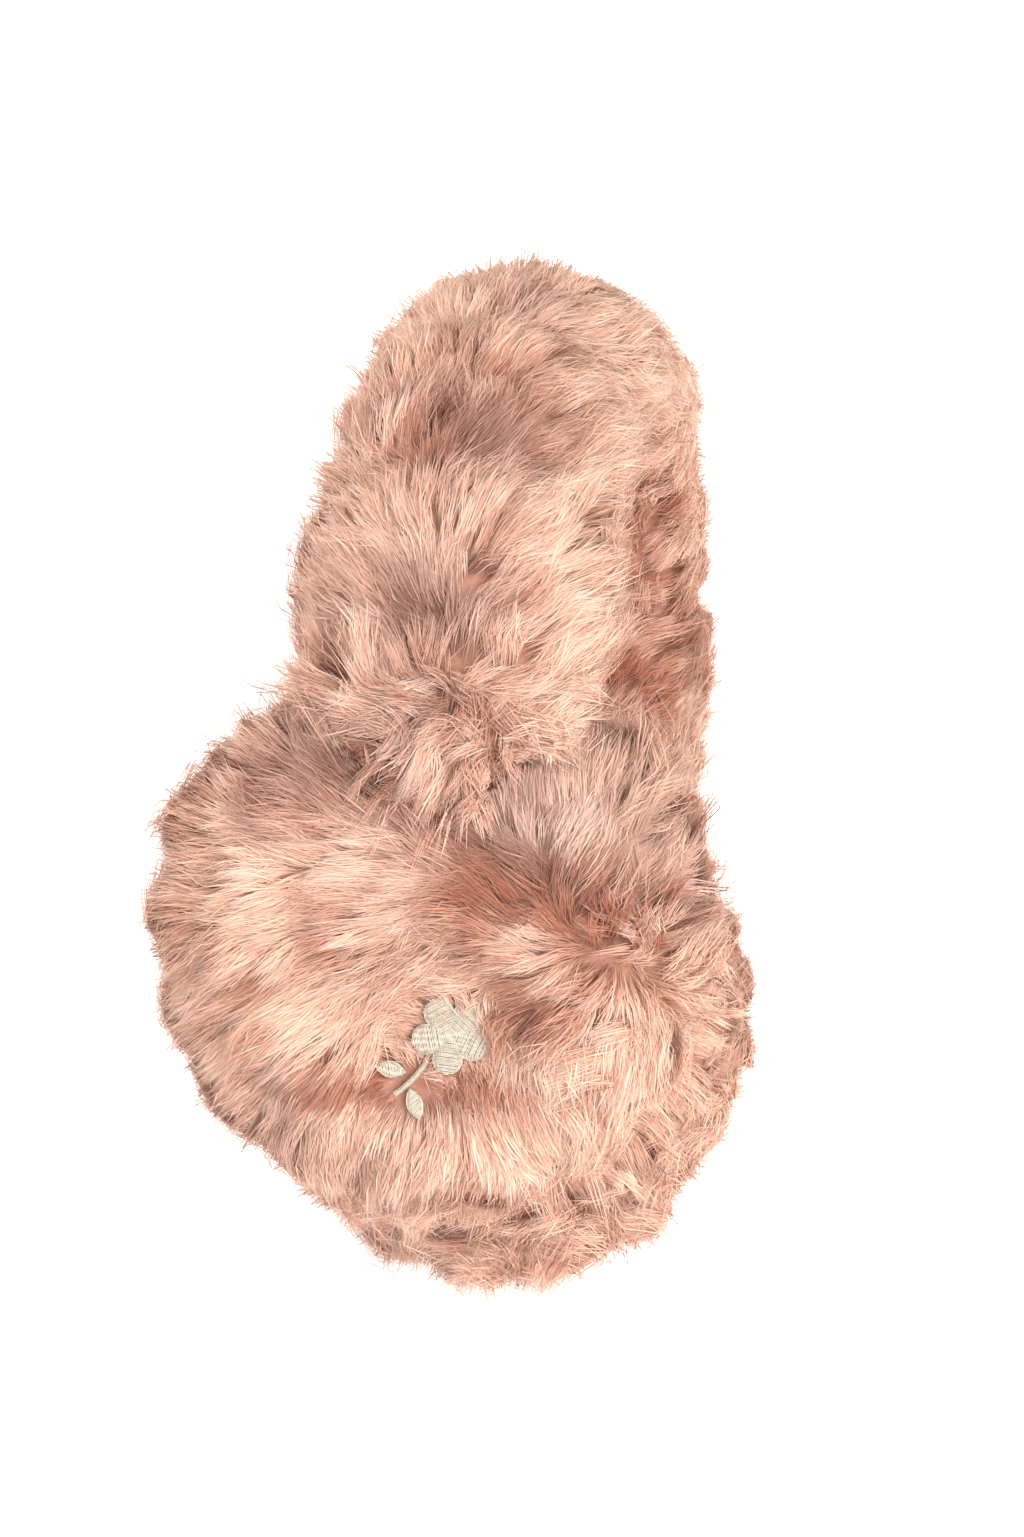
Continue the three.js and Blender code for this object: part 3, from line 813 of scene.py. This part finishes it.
def comb_outer(side):
    axes = np.array(cup_frame(side))[:3, :3]

    def comb(root, normal):
        here = local_of(cup_frame(side), root)
        y, z = here[:, 1], here[:, 2]
        distance = np.hypot(y - WHORLS[side][0], z - WHORLS[side][1])
        core, near = bell(distance, WHORL_CORE), bell(distance, WHORL_REACH)
        angle, from_parting = outer_angle(here, side, near)
        way = np.stack([-side * 0.3 * np.ones(len(y)), np.cos(angle), np.sin(angle)], axis=1)
        rim = ramp(np.hypot(y, z), 46, 16)
        parted = (bell(from_parting, PARTING_WIDTH)
                  * np.clip(1.3 - distance / PARTING_LENGTH, 0, 1))
        smooth = ramp(-z, 0, 45) * ramp(y, -20, 40)
        seam = bell(here[:, 0], SEAM_WIDTH)
        length = OUTER_LENGTH + 2 * rim - 4 * core - 4 * seam
        height = OUTER_HEIGHT + 0.4 * rim + 2 * near - 1.6 * parted - 1.4 * seam
        # Darker in the parting and along the seam, as painted shade in these grooves
        tone = (OUTER_TONE + 0.11 * patch_noise(here)
                + (0.15 - 0.08 * smooth) * lock_noise(here)
                - 0.26 * parted - 0.3 * seam + near * 0.4 * tuft_noise(here))
        clump = 0.85 - 0.5 * smooth
        cool = 0.1 + 0.22 * dye_noise(here)
        mess = 0.14 + 1.0 * near - 0.1 * smooth
        foot, front = low_edges(y, z, side)
        foot = foot * (side < 0)
        length = length + 5 * foot - 3 * front
        height = height + 4.4 * foot - 1.6 * front
        if side > 0:
            shoulder = ramp(z, 5, 25) * rim
            length, height = length + 4 * shoulder, height + 4.5 * shoulder
            way, length, height, mess = push_aside(y, z, way, length, height, mess)
            height = height - HOLLOW_DEPTH * patches(y, z, NEAR_CUP_HOLLOW)
            # The tips show, and they lie more than half a length on from the roots
            seen = 0.55 * length[:, None] * unit(way)[:, 1:]
            # Painted shade and painted light from the chart, and the cooler hue of the painted
            # shade
            tone = tone + patches(y + seen[:, 0], z + seen[:, 1], NEAR_CUP_PAINTED_SHADE_AND_LIGHT)
            cool = cool + patches(y + seen[:, 0], z + seen[:, 1], NEAR_CUP_PAINTED_SHADE_COOLING)
        return way @ axes.T, length, height, tone, clump, cool, mess, np.ones(len(y), dtype=bool)
    return comb


print("whorls of the outer panels at", WHORLS)

# %% Comb of the inner panels, and the cups' fur
INNER_LENGTH, INNER_HEIGHT, INNER_TONE = 11, 4.2, 0.64
INNER_CLUMP, INNER_MESS = 0.9, 0.2


def comb_inner(side):
    axes = np.array(cup_frame(side))[:3, :3]

    def comb(root, normal):
        here = local_of(cup_frame(side), root)
        y, z = here[:, 1], here[:, 2]
        angle = np.arctan2(z, y) + 0.35 * swirl_noise(here) + 0.25 * lock_noise(here)
        way = np.stack([side * 0.25 * np.ones(len(y)), np.cos(angle), np.sin(angle)], axis=1)
        rim, seam = ramp(np.hypot(y, z), 44, 18), bell(here[:, 0], SEAM_WIDTH)
        foot, front = low_edges(y, z, side)
        length = INNER_LENGTH + 3 * rim - 2 * seam + 3 * foot - 2 * front
        height = INNER_HEIGHT + 0.8 * rim - 1.4 * seam + 2.6 * foot - 1.4 * front
        # Paler towards the rim as painted rim light, and darker along the seam as painted shade
        tone = (INNER_TONE + 0.12 * patch_noise(here) + 0.18 * lock_noise(here) + 0.1 * rim
                - 0.3 * seam)
        ones = np.ones(len(y))
        return (way @ axes.T, length, height, tone, INNER_CLUMP * ones, 0 * ones,
                INNER_MESS * ones, ones.astype(bool))
    return comb


for node, count, comb, seed in (("cup_right_outer", 95000, comb_outer(1), 21),
                                ("cup_right_inner", 46000, comb_inner(1), 22),
                                ("cup_left_outer", 54000, comb_outer(-1), 23),
                                ("cup_left_inner", 46000, comb_inner(-1), 24)):
    grow_fur(node + "_fur", node, count, comb, seed)

# %% [markdown]
# ## Combing the sleeve
#
# A second whorl sits low on each leg. From it the pile runs up the leg to the crown and fans out to
# both sides, and below it the pile falls over the cup. Where the sleeve is puckered, painted shade,
# dark and mauve, marks the valleys under the tips of the tier below, and painted light brightens
# the lit edges, the sides and the crown. The side towards the head is shorter and clumped, and
# painted darker as shade, and warmer as light bounced into it.

# %% Line of the sleeve
CROWN_RADIUS = 70
LEG_BOW = 46
JOIN = (12, 14)
JOIN_EASE = 40


def band_line():
    """Points down the right half of the sleeve's middle line, from crown to cup, in mm."""
    turn = Matrix.Rotation(CUP_TURN, 3, "Z") @ Matrix.Rotation(CUP_LEAN, 3, "Y")
    cup = Vector((CUP_SPACING / 2, -CUP_BACK, -CUP_DROP))
    sewn = np.array(turn @ Vector((JOIN[0], 0, JOIN[1])) + cup)
    above = np.array(turn @ Vector((JOIN[0], 0, JOIN[1] + JOIN_EASE)) + cup)
    arc = np.linspace(math.pi / 2, 0, 60)
    half = np.stack([CROWN_RADIUS * np.cos(arc), 0 * arc, CROWN_RADIUS * np.sin(arc)], axis=1)
    t = np.linspace(0, 1, 50)[1:, None]
    side, bow = half[-1], half[-1] + np.array([0, 0, -LEG_BOW])
    leg = ((1 - t) ** 3 * side + 3 * (1 - t) ** 2 * t * bow + 3 * (1 - t) * t ** 2 * above
           + t ** 3 * sewn)
    return np.concatenate([half, leg])


LINE = band_line()
TANGENT = unit(np.gradient(LINE, axis=0))
RUN = np.concatenate([[0], np.cumsum(np.linalg.norm(np.diff(LINE, axis=0), axis=1))])
HALF_LENGTH = RUN[-1]
LEG_WHORL = 0.088
# Painted shade and painted light: each patch gives its share along the sleeve from its end, mm
# across, the spread in each, and how much paler, below 0 for painted shade
SLEEVE_PAINTED_SHADE_AND_LIGHT = ((0.256, 8, 0.018, 18, -0.9), (0.15, 2, 0.022, 19, -0.85),
                 (0.09, 11, 0.014, 9, -0.5), (0.276, 27, 0.008, 5, -0.4),
                 (0.361, 13, 0.01, 10, -0.6), (0.38, 7, 0.012, 6, -0.2),
                 (0.12, 24, 0.012, 8, -0.2), (0.055, -14, 0.02, 14, -0.3),
                 (0.31, -15, 0.02, 10, 0.1), (0.2, 28, 0.06, 8, 0.34),
                 (0.2, -30, 0.05, 8, 0.1), (0.43, 26, 0.06, 13, 0.3), (0.04, 5, 0.014, 16, -0.3))
bulge_noise = noise_of(31, 45)
print("half of the sleeve is", round(HALF_LENGTH, 1), "mm long")


# %% Comb of the sleeve
BAND_LENGTH, BAND_HEIGHT, BAND_TONE = 15, 4.8, 0.61
# How far the whorl's middle and the whorl reach, as a share of the sleeve
LEG_CORE, LEG_REACH = 0.014, 0.03
CLIMB_TURN = 0.012
HALF_BAND = 30
CHUNK = 4000


def mirror_of(leg):
    return np.stack([leg, np.ones(len(leg)), np.ones(len(leg))], axis=1)


def along_band(points):
    """For places in mm: worn coordinates, which leg, station, and share from right to left."""
    here = local_of(WORN, points)
    leg = np.where(here[:, 0] >= 0, 1.0, -1.0)
    folded = here * mirror_of(leg)
    station = np.concatenate([
        np.linalg.norm(folded[i:i + CHUNK, None] - LINE[None], axis=2).argmin(axis=1)
        for i in range(0, len(folded), CHUNK)])
    return here, leg, station, 0.5 - 0.5 * leg * RUN[station] / HALF_LENGTH


def comb_band(first, last):
    axes = np.array(WORN)[:3, :3]

    def comb(root, normal):
        here, leg, station, share = along_band(root)
        middle = LINE[station] * mirror_of(leg)
        facing = normal @ np.array(WORN.inverted())[:3, :3].T
        inwards = unit(-middle * [1, 0, 1])
        across = here[:, 1] - middle[:, 1]
        from_end = np.minimum(share, 1 - share)
        inside = np.clip((facing * inwards).sum(axis=1), 0, 1)
        # Up the leg above the whorl, down below it, and slower near the crown
        wander = 0.012 * swirl_noise(here) + 0.02 * tuft_noise(here)
        climb = np.tanh((from_end - LEG_WHORL - 0.0008 * (across - 6) + wander) / CLIMB_TURN)
        climb = climb * (0.35 + 0.65 * ramp(0.5 - from_end, 0, 0.12))
        whorled = bell(from_end - LEG_WHORL, LEG_REACH)
        core = bell(from_end - LEG_WHORL, LEG_CORE)
        fan = across / 26 + 0.5 * bulge_noise(here) + (0.2 + 0.5 * whorled) * lock_noise(here)
        up = -TANGENT[station] * mirror_of(leg)
        way = up * climb[:, None] + np.array([0, 1, 0]) * fan[:, None]
        outer = ramp(np.abs(across), 0, HALF_BAND) ** 2
        below = ramp(LEG_WHORL - from_end, 0, LEG_REACH)
        length = BAND_LENGTH - 5 * inside - 4 * core + (4 - 9 * outer) * below
        height = (BAND_HEIGHT + 0.4 * outer - 0.8 * inside + 2.2 * core
                  - (1.2 + 1.8 * outer) * below + 1.2 * ramp(-across, 0, HALF_BAND) * (1 - below))
        ahead = from_end + 0.55 * length * climb / (2 * HALF_LENGTH)
        # Painted shade in the valleys of the puckers and painted light on the lit edges and crown,
        # from the chart
        painted_shade_and_light = patches(ahead, across + 0.55 * length * np.clip(fan, -1, 1), SLEEVE_PAINTED_SHADE_AND_LIGHT)
        # Paler towards the crown and at the sides as painted light, and darker on the side towards
        # the head as painted shade
        tone = (BAND_TONE + 0.17 * ramp(from_end, 0.28, 0.08) + 0.11 * patch_noise(here)
                + (0.15 + 0.2 * inside) * lock_noise(here) + 0.12 * outer
                + painted_shade_and_light * (1 - 0.6 * inside) - 0.44 * inside)
        clump = 0.8 + 0.2 * inside - 0.15 * outer
        # Cooler with the painted shade of the chart; warm at the sides with their painted light,
        # and on the side towards the head as painted bounced light
        cool = (0.18 + 0.2 * dye_noise(here) - 0.9 * painted_shade_and_light) * (1 - outer) * (1 - inside)
        mess = 0.16 + 0.4 * inside + 1.1 * whorled * (1 - 0.6 * below)
        grows = (share >= first) & (share < last)
        return way @ axes.T, length, height, tone, clump, cool, mess, grows
    return comb


def between(first, last):
    """Roots only on this length of the sleeve, and closer together where the pile turns round."""
    def weight(centres):
        share = along_band(centres)[3]
        from_whorl = np.minimum(share, 1 - share) - LEG_WHORL
        return ((share >= first) & (share < last)) * (1 + 1.6 * bell(from_whorl, 0.02))
    return weight


for name, first, last, count, seed in (("sleeve_right_leg_fur", -0.1, 0.33, 95000, 41),
                                       ("sleeve_crown_fur", 0.33, 0.62, 67000, 42),
                                       ("sleeve_left_leg_fur", 0.62, 1.1, 67000, 43)):
    grow_fur(name, "headband_sleeve", count, comb_band(first, last), seed, between(first, last))

# %% [markdown]
# ## Embroidery
#
# The figure on the near cup is satin stitch: glossy ivory thread laid side by side from edge to
# edge of each petal and leaf, over a padded ground. The solids are the ground and keep their
# shape. The threads go on top, each an arc a little higher in its middle, made in one joined mesh.
# Their ends dip at the figure's edge, where a needle would draw them into the cloth.

# %% Thread material
def thread_material(name, pitch):
    """Satin stitch: rows of thread that catch the light, with slightly uneven dye."""
    material, tree = new_material(name)
    place = add_node(tree, "ShaderNodeTexCoord")
    # A band repeats every 2 pi / (20 scale) metres
    rows = add_node(tree, "ShaderNodeTexWave", Vector=place.outputs["Object"],
                    Scale=2 * math.pi / (20 * pitch * MM), Distortion=1.5, Detail=2.0)
    uneven = add_node(tree, "ShaderNodeTexNoise", Vector=place.outputs["Object"], Scale=900.0)
    ramp = add_node(tree, "ShaderNodeValToRGB", Fac=uneven.outputs["Fac"])
    ramp.color_ramp.elements[0].color = hex_linear("#867D6E")
    ramp.color_ramp.elements[1].color = hex_linear("#C3B9A8")
    bump = add_node(tree, "ShaderNodeBump", Height=rows.outputs["Fac"], Strength=0.5,
                    Distance=0.0002)
    shader = add_node(tree, "ShaderNodeBsdfPrincipled", Base_Color=ramp.outputs["Color"],
                      Normal=bump.outputs["Normal"], Roughness=0.45, Specular_IOR_Level=0.5)
    add_node(tree, "ShaderNodeOutputMaterial", Surface=shader.outputs[0])
    return material


STITCH_PITCH = 0.36
thread = thread_material("rayon_satin_stitch", STITCH_PITCH)
STITCHED_NODES = ("embroidered_blossom", "embroidered_stem", "embroidered_leaf_back",
                  "embroidered_leaf_front")
for node in STITCHED_NODES:
    ground = bpy.data.objects[node]
    if not ground.material_slots:
        ground.data.materials.append(thread)
    for slot in ground.material_slots:
        slot.material = thread
print("thread on", len(STITCHED_NODES), "nodes")

# %% Outlines of the figure
PETALS, PETAL_LENGTH, PETAL_WIDTH = 5, 6.4, 6.2
LEAF_LENGTH, LEAF_WIDTH = 7.6, 3.8
STEM_LENGTH, STEM_WIDTH = 11, 1.1
STEM_TURN = math.radians(-128)
MOTIF = (7.0, -26.0)
LEAF_PLACES = ((0.42, math.radians(-58)), (0.62, math.radians(62)))
STITCH_GAP = 0.3
PETAL_HEART = PETAL_WIDTH * 0.42
FLOWER_REACH = PETAL_HEART + PETAL_LENGTH


def seat_frame():
    """The stitches' plane on the ground's top: x to the front, y up and z out of the cup."""
    inverse = cup_frame(1).inverted()
    top = max((inverse @ v.co).x for v in bpy.data.objects["embroidered_blossom"].data.vertices)
    place = Matrix.Translation((top, MOTIF[0] * MM, MOTIF[1] * MM))
    return cup_frame(1) @ place @ Matrix(((0, 0, 1, 0), (1, 0, 0, 0), (0, 1, 0, 0), (0, 0, 0, 1)))


def petal_edge():
    t = np.linspace(0, 1, 60)
    weights = np.stack([(1 - t) ** 3, 3 * (1 - t) ** 2 * t, 3 * (1 - t) * t ** 2, t ** 3], axis=1)
    return weights @ np.array([(-PETAL_HEART * 0.3, 0), (PETAL_HEART, PETAL_WIDTH * 0.7),
                               (FLOWER_REACH, PETAL_WIDTH * 0.8), (FLOWER_REACH, 0)])


def leaf_edge():
    t = np.linspace(0, 1, 30)
    return np.stack([LEAF_LENGTH * t, 2 * t * (1 - t) * LEAF_WIDTH], axis=1)


def stem_edge():
    return np.array([(0.0, STEM_WIDTH / 2), (STEM_LENGTH, STEM_WIDTH / 2)])


print("the flower reaches", round(FLOWER_REACH, 2), "mm from its middle")

# %% Rows of thread
SHORTEST_STITCH = 0.25
PETAL_SLANT, STEM_SLANT, LEAF_SLANT = 0.0, 0.7, 0.35


def heading(turn):
    return np.array([math.cos(turn), math.sin(turn)])


def stitch_rows(edge, at, turn, slant, bend, rng):
    """Threads across a figure: middles, way and half lengths, in the stitches' plane."""
    rows = np.arange(edge[0, 0] + STITCH_PITCH, edge[-1, 0], STITCH_PITCH)
    rows = rows + rng.normal(0, 0.04, len(rows))
    half = np.interp(rows, edge[:, 0], edge[:, 1]) * rng.uniform(0.94, 1.04, len(rows))
    share = rows / edge[-1, 0]
    middle = np.stack([rows, bend * 4 * rows / edge[-1, 0] * (1 - share)], axis=1)
    across = np.array([-math.sin(slant), math.cos(slant)])
    spin = np.array([[math.cos(turn), math.sin(turn)], [-math.sin(turn), math.cos(turn)]])
    kept = half > SHORTEST_STITCH
    return (middle @ spin + at)[kept], (across @ spin), half[kept]


def figure_rows(rng):
    """The threads of the petals, the stem and the leaves."""
    flower = np.array([FLOWER_REACH * 0.4, FLOWER_REACH * 0.45])
    along = heading(STEM_TURN)
    stem = flower + along * (FLOWER_REACH - PETAL_LENGTH * 0.2)
    rows = [stitch_rows(petal_edge(), flower, 2 * math.pi * (i + 0.5) / PETALS + STEM_TURN,
                        PETAL_SLANT, 0.0, rng) for i in range(PETALS)]
    rows.append(stitch_rows(stem_edge(), stem, STEM_TURN, STEM_SLANT, STEM_LENGTH * 0.06, rng))
    out = STEM_WIDTH / 2 + STITCH_GAP + LEAF_WIDTH * 0.22
    for share, turn in LEAF_PLACES:
        turn = turn + STEM_TURN
        at = stem + along * STEM_LENGTH * share + out * heading(turn)
        rows.append(stitch_rows(leaf_edge(), at, turn, LEAF_SLANT, 0.0, rng))
    return rows


print("rows of thread", STITCH_PITCH, "mm apart")

# %% Satin stitches
THREAD_RADIUS = 0.2
THREAD_SIDES = 4
# Where a thread's rings stand, from one end of it to the other
RING_SHARES = np.array([-1, -0.6, 0, 0.6, 1])
ARCH_FOOT, ARCH_RISE, ARCH_DIP = 0.1, 0.28, 0.25


def thread_tube(middle, way, half, first, rng):
    """One thread's corners, and its triangles counted from the corner numbered first."""
    arch = (ARCH_FOOT + ARCH_RISE * (1 - RING_SHARES ** 2) - ARCH_DIP * RING_SHARES ** 4
            + rng.normal(0, 0.02))
    line = middle + way * (RING_SHARES * half)[:, None]
    beside = np.array([way[1], -way[0]])
    verts, tris = [], []
    for (px, py), pz in zip(line, arch):
        for turn in 2 * math.pi * np.arange(THREAD_SIDES) / THREAD_SIDES:
            off = beside * math.cos(turn) * THREAD_RADIUS
            verts.append((px + off[0], py + off[1], pz + math.sin(turn) * THREAD_RADIUS))
    last = first + THREAD_SIDES * (len(RING_SHARES) - 1)
    for ring in range(first, last, THREAD_SIDES):
        for j in range(THREAD_SIDES):
            this, following = ring + j, ring + (j + 1) % THREAD_SIDES
            tris += [(this, following, following + THREAD_SIDES),
                     (this, following + THREAD_SIDES, this + THREAD_SIDES)]
    tris += [(first, first + 2, first + 1), (first, first + 3, first + 2),
             (last, last + 1, last + 2), (last, last + 2, last + 3)]
    return verts, tris


def stitches():
    rng = np.random.default_rng(51)
    verts, tris = [], []
    for middles, way, halves in figure_rows(rng):
        for middle, half in zip(middles, halves):
            corners, faces = thread_tube(middle, way, half, len(verts), rng)
            verts += corners
            tris += faces
    seat = np.array(seat_frame())
    verts = np.array(verts) * MM @ seat[:3, :3].T + seat[:3, 3]
    mesh = bpy.data.meshes.new("satin_stitches")
    mesh.from_pydata(verts.tolist(), [], tris)
    bm = bmesh.new()
    bm.from_mesh(mesh)
    bmesh.ops.recalc_face_normals(bm, faces=bm.faces)
    bm.to_mesh(mesh)
    bm.free()
    for polygon in mesh.polygons:
        polygon.use_smooth = True
    mesh.materials.append(thread)
    obj = bpy.data.objects.new("satin_stitches", mesh)
    bpy.context.scene.collection.objects.link(obj)
    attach(obj, "root")
    return obj


threads = stitches()
print(threads.name, len(threads.data.polygons), "triangles")
